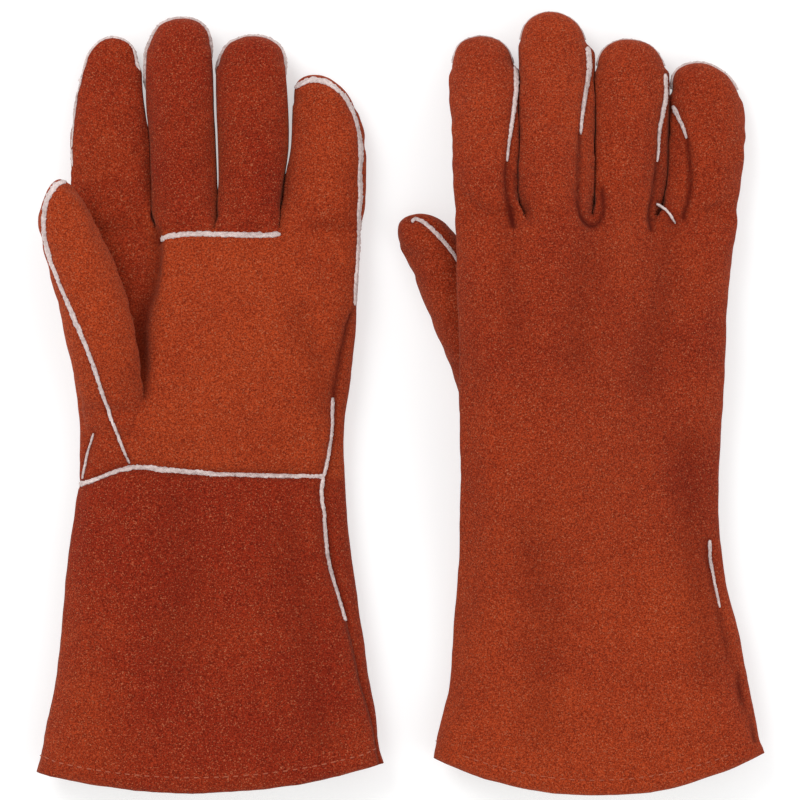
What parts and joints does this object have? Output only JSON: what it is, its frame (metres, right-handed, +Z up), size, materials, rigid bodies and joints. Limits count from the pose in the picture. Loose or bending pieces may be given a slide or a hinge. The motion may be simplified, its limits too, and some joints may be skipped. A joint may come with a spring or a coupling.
{
  "type": "pair of welding gloves",
  "caption": "Pair of russet split-leather gauntlet welding gloves with grey welted seams and flared cuffs, one palm up and one palm down, with bending fingers, thumbs and wrists.",
  "frame": {"origin": "centre of the pair's bounding box in X and Y, on the surface the gloves lie on", "axes": "+X from the left glove to the right glove, +Y from the cuffs to the fingertips, +Z up"},
  "size_m": [0.3304, 0.3556, 0.0494],
  "materials": {
    "red_suede": "split cowhide with a short matt nap",
    "grey_welting": "pale grey split leather strip with frayed edges",
    "cotton_lining": "brushed cotton, matt"
  },
  "bodies": {
    "left_cuff": {"left_cuff_front": "red_suede", "left_cuff_back": "red_suede", "left_cuff_lining": "cotton_lining", "left_side_welt": "grey_welting", "left_wrist_welt": "grey_welting"},
    "left_hand": {"left_palm": "red_suede", "left_hand_back": "red_suede", "left_hand_lining": "cotton_lining", "left_finger_base_welt": "grey_welting"},
    "left_index": {"left_index_front": "red_suede", "left_index_back": "red_suede", "left_index_welt": "grey_welting", "left_index_wall_b": "red_suede"},
    "left_middle": {"left_middle_front": "red_suede", "left_middle_back": "red_suede", "left_middle_welt": "grey_welting", "left_middle_wall_a": "red_suede", "left_middle_wall_b": "red_suede"},
    "left_ring": {"left_ring_front": "red_suede", "left_ring_back": "red_suede", "left_ring_welt": "grey_welting", "left_ring_wall_a": "red_suede", "left_ring_wall_b": "red_suede"},
    "left_little": {"left_little_front": "red_suede", "left_little_back": "red_suede", "left_little_welt": "grey_welting", "left_little_wall_a": "red_suede"},
    "left_thumb": {"left_thumb_front": "red_suede", "left_thumb_back": "red_suede", "left_thumb_welt": "grey_welting"},
    "right_cuff": {"right_cuff_front": "red_suede", "right_cuff_back": "red_suede", "right_cuff_lining": "cotton_lining", "right_side_welt": "grey_welting", "right_wrist_welt": "grey_welting"},
    "right_hand": {"right_palm": "red_suede", "right_hand_back": "red_suede", "right_hand_lining": "cotton_lining", "right_finger_base_welt": "grey_welting"},
    "right_index": {"right_index_front": "red_suede", "right_index_back": "red_suede", "right_index_welt": "grey_welting", "right_index_wall_b": "red_suede"},
    "right_middle": {"right_middle_front": "red_suede", "right_middle_back": "red_suede", "right_middle_welt": "grey_welting", "right_middle_wall_a": "red_suede", "right_middle_wall_b": "red_suede"},
    "right_ring": {"right_ring_front": "red_suede", "right_ring_back": "red_suede", "right_ring_welt": "grey_welting", "right_ring_wall_a": "red_suede", "right_ring_wall_b": "red_suede"},
    "right_little": {"right_little_front": "red_suede", "right_little_back": "red_suede", "right_little_welt": "grey_welting", "right_little_wall_a": "red_suede"},
    "right_thumb": {"right_thumb_front": "red_suede", "right_thumb_back": "red_suede", "right_thumb_welt": "grey_welting"}
  },
  "joints": [
    {"name": "left_wrist_bend", "type": "hinge", "parent": "left_cuff", "child": "left_hand", "pos_m": [-0.08536, -0.03483, 0.0262], "axis": [1, 0, 0], "range_deg": [0, 60]},
    {"name": "left_index_bend", "type": "hinge", "parent": "left_hand", "child": "left_index", "pos_m": [-0.13236, 0.10317, 0.0231], "axis": [1, 0, 0], "range_deg": [0, 75]},
    {"name": "left_middle_bend", "type": "hinge", "parent": "left_hand", "child": "left_middle", "pos_m": [-0.09786, 0.07817, 0.0246], "axis": [1, 0, 0], "range_deg": [0, 75]},
    {"name": "left_ring_bend", "type": "hinge", "parent": "left_hand", "child": "left_ring", "pos_m": [-0.06886, 0.07817, 0.0246], "axis": [1, 0, 0], "range_deg": [0, 75]},
    {"name": "left_little_bend", "type": "hinge", "parent": "left_hand", "child": "left_little", "pos_m": [-0.03436, 0.07817, 0.0241], "axis": [1, 0, 0], "range_deg": [0, 75]},
    {"name": "left_thumb_open", "type": "hinge", "parent": "left_hand", "child": "left_thumb", "pos_m": [-0.13036, -0.01243, 0.0434], "axis": [1, 0, 0], "range_deg": [0, 50]},
    {"name": "right_wrist_bend", "type": "hinge", "parent": "right_cuff", "child": "right_hand", "pos_m": [0.08664, -0.03483, 0], "axis": [-1, 0, 0], "range_deg": [0, 60]},
    {"name": "right_index_bend", "type": "hinge", "parent": "right_hand", "child": "right_index", "pos_m": [0.03864, 0.10317, 0.0206], "axis": [-1, 0, 0], "range_deg": [0, 75]},
    {"name": "right_middle_bend", "type": "hinge", "parent": "right_hand", "child": "right_middle", "pos_m": [0.07064, 0.08317, 0.0186], "axis": [-1, 0, 0], "range_deg": [0, 75]},
    {"name": "right_ring_bend", "type": "hinge", "parent": "right_hand", "child": "right_ring", "pos_m": [0.10564, 0.08317, 0.0047], "axis": [-1, 0, 0], "range_deg": [0, 75]},
    {"name": "right_little_bend", "type": "hinge", "parent": "right_hand", "child": "right_little", "pos_m": [0.13964, 0.08317, 0], "axis": [-1, 0, 0], "range_deg": [0, 75]},
    {"name": "right_thumb_open", "type": "hinge", "parent": "right_hand", "child": "right_thumb", "pos_m": [0.04264, -0.01243, 0], "axis": [-1, 0, 0], "range_deg": [0, 50]},
    {"name": "right_glove_lift", "type": "slide", "parent": "left_cuff", "child": "right_cuff", "axis": [0, 0, 1], "range_m": [0, 0.2]}
  ]
}
